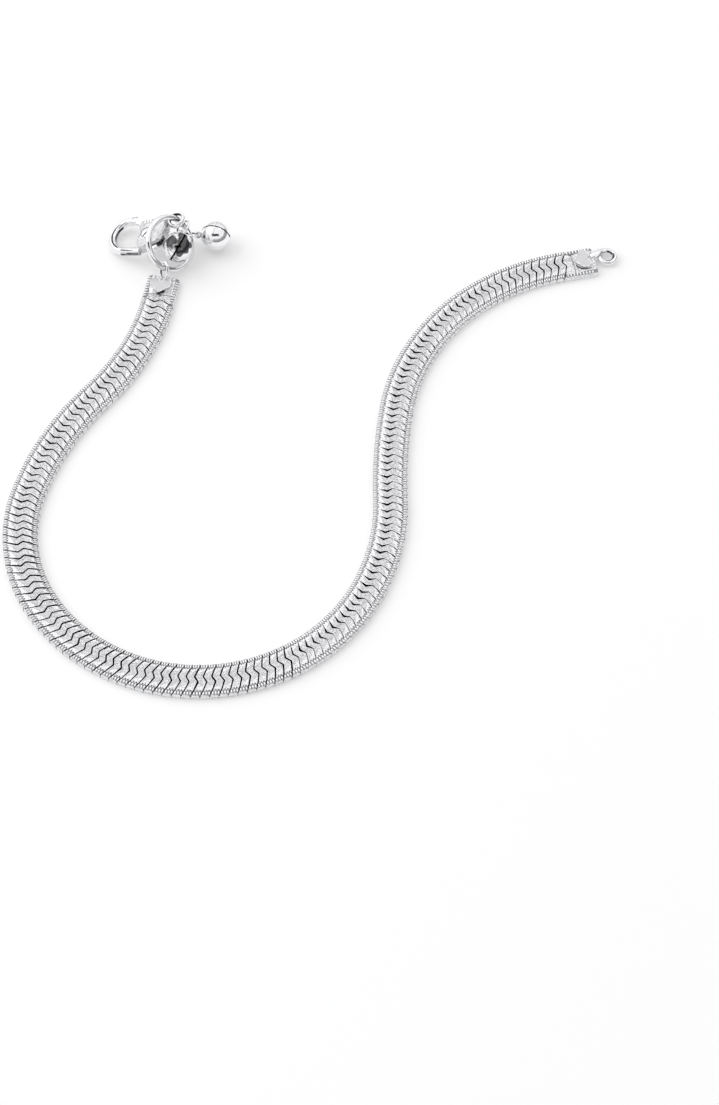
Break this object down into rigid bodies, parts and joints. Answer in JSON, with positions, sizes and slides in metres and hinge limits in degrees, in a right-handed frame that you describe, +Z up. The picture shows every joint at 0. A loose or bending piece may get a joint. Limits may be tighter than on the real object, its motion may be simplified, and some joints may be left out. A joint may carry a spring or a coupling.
{
  "type": "payal anklet",
  "caption": "Silver payal anklet: a flat woven band of plates with heart end caps, a lobster clasp on a jump ring, two small bells and a soldered tail loop.",
  "frame": {"origin": "centre of the overall box, on the table that the anklet lies on", "axes": "+Z up from the table, the band's top face up; +Y across the bends, the clasp and tail ends towards +Y"},
  "size_m": [0.1158, 0.1078, 0.0088],
  "materials": {
    "woven_silver": "bright diamond cut",
    "polished_silver": "polished"
  },
  "bodies": {
    "anklet": {"band_clasp_half": "woven_silver", "band_tail_half": "woven_silver", "clasp_end_cap": "polished_silver", "tail_end_cap": "polished_silver", "jump_ring": "polished_silver", "clasp_body": "polished_silver", "clasp_rivet": "polished_silver", "bell_a": "polished_silver", "bell_b": "polished_silver", "pellet_a": "polished_silver", "pellet_b": "polished_silver", "bell_link_a": "polished_silver", "bell_link_b": "polished_silver"},
    "lever": {"clasp_lever": "polished_silver"}
  },
  "joints": [
    {"name": "clasp_lever_hinge", "type": "hinge", "parent": "anklet", "child": "lever", "pos_m": [-0.03343, 0.04807, 0.00374], "axis": [-0.365, -0.007, 0.931], "range_deg": [0, 15], "stiffness_Nm_per_rad": 0.002, "springref_deg": -11.46}
  ]
}
